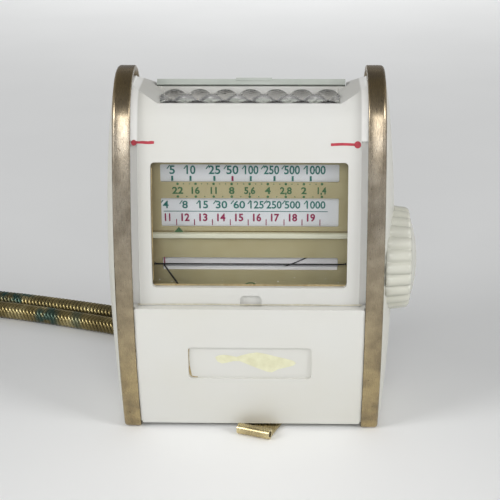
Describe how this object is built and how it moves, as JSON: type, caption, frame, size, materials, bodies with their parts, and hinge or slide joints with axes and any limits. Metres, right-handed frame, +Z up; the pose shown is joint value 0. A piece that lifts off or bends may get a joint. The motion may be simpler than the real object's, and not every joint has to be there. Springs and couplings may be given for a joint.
{
  "type": "colour temperature meter",
  "caption": "Hand-held light meter with a colour temperature index: cream case in two brass bands, honeycomb lens, scale window, sliding cover, fluted knob and snake chain.",
  "frame": {"origin": "centre of the resting base, midway between the two bands and between front and back, on the surface it stands on", "axes": "+Z up, the scale window faces -Y, +X towards the knob"},
  "size_m": [0.1621, 0.0728, 0.0733],
  "materials": {
    "cream_plastic": "smooth, slightly yellowed",
    "brass_satin": "satin, brushed along its length",
    "brass_aged": "aged, olive in the hollows",
    "steel": "turned",
    "clear_pane": "clear",
    "clear_lens": "clear, moulded",
    "filter_grey": "translucent grey-green",
    "mask_khaki": "flat",
    "bar_cream": "flat",
    "scale_white": "white with printed scales",
    "drum_white": "white with one black line",
    "paint_black": "matt",
    "black_moulding": "matt",
    "cell_dark": "dark sheen",
    "iron_dark": "dull",
    "copper_wire": "varnished wire",
    "wire_red": "insulated wire"
  },
  "bodies": {
    "case": {"case_body": "cream_plastic", "case_back": "cream_plastic", "back_screws": "steel", "left_band": "brass_satin", "right_band": "brass_satin", "left_cheek": "cream_plastic", "right_cheek": "cream_plastic", "cheek_screws": "steel", "window_pane": "clear_pane", "mask_plate": "mask_khaki", "mask_screws": "steel", "divider_bar": "bar_cream", "hairline": "paint_black", "honeycomb_lens": "clear_lens", "light_cell": "cell_dark", "cell_frame": "black_moulding", "lead_wires": "wire_red", "knob_bush": "brass_satin", "knob_washer": "steel", "guide_rod": "steel", "movement_bridge": "brass_satin", "front_bridge": "brass_satin", "bridge_pillars": "brass_satin", "movement_screws": "steel", "flux_ring": "iron_dark", "core_magnet": "iron_dark", "core_holder": "brass_satin", "hairspring_front": "steel", "hairspring_rear": "steel", "strap_screw": "brass_satin"},
    "front_cover": {"front_cover": "cream_plastic"},
    "filter": {"filter_shutter": "filter_grey"},
    "knob": {"knob": "cream_plastic", "knob_screw": "brass_satin", "knob_shaft": "steel", "pointer_drum": "drum_white"},
    "scale": {"scale_carriage": "black_moulding", "upper_strip": "scale_white", "lower_strip": "scale_white"},
    "needle": {"moving_coil": "copper_wire", "needle": "paint_black"},
    "zero": {"zero_screw": "steel"},
    "strap": {"chain_strap": "brass_satin", "strap_rivets": "brass_satin", "chain_clamp": "brass_aged", "chain_strand_rear": "brass_aged", "chain_strand_front": "brass_aged", "chain_coil": "brass_aged"}
  },
  "joints": [
    {"name": "cover_slide", "type": "hinge", "parent": "case", "child": "front_cover", "pos_m": [0, 0.079, 0.0325], "axis": [-1, 0, 0], "range_deg": [0, 19.5]},
    {"name": "filter_swing", "type": "hinge", "parent": "case", "child": "filter", "pos_m": [0, 0.00244, 0.0633], "axis": [1, 0, 0], "range_deg": [0, 70]},
    {"name": "knob_turn", "type": "hinge", "parent": "case", "child": "knob", "pos_m": [0, -0.0037, 0.0359], "axis": [1, 0, 0], "range_deg": [-206, 86]},
    {"name": "scale_slide", "type": "slide", "parent": "case", "child": "scale", "axis": [1, 0, 0], "range_m": [-0.0037, 0.00155]},
    {"name": "needle_swing", "type": "hinge", "parent": "case", "child": "needle", "pos_m": [0, 0, 0.0093], "axis": [0, 1, 0], "range_deg": [0, 65.6], "stiffness_Nm_per_rad": 0.00001},
    {"name": "zero_adjust", "type": "hinge", "parent": "case", "child": "zero", "pos_m": [0, 0.01, 0.0093], "axis": [0, 1, 0], "range_deg": [-25, 25]},
    {"name": "strap_swivel", "type": "hinge", "parent": "case", "child": "strap", "pos_m": [0.004, -0.0045, 0], "axis": [0, 0, 1], "range_deg": [-4, 10]}
  ],
  "couplings": [
    {"joint": "scale_slide", "follows": "knob_turn", "m_per_rad": 0.0010274}
  ]
}
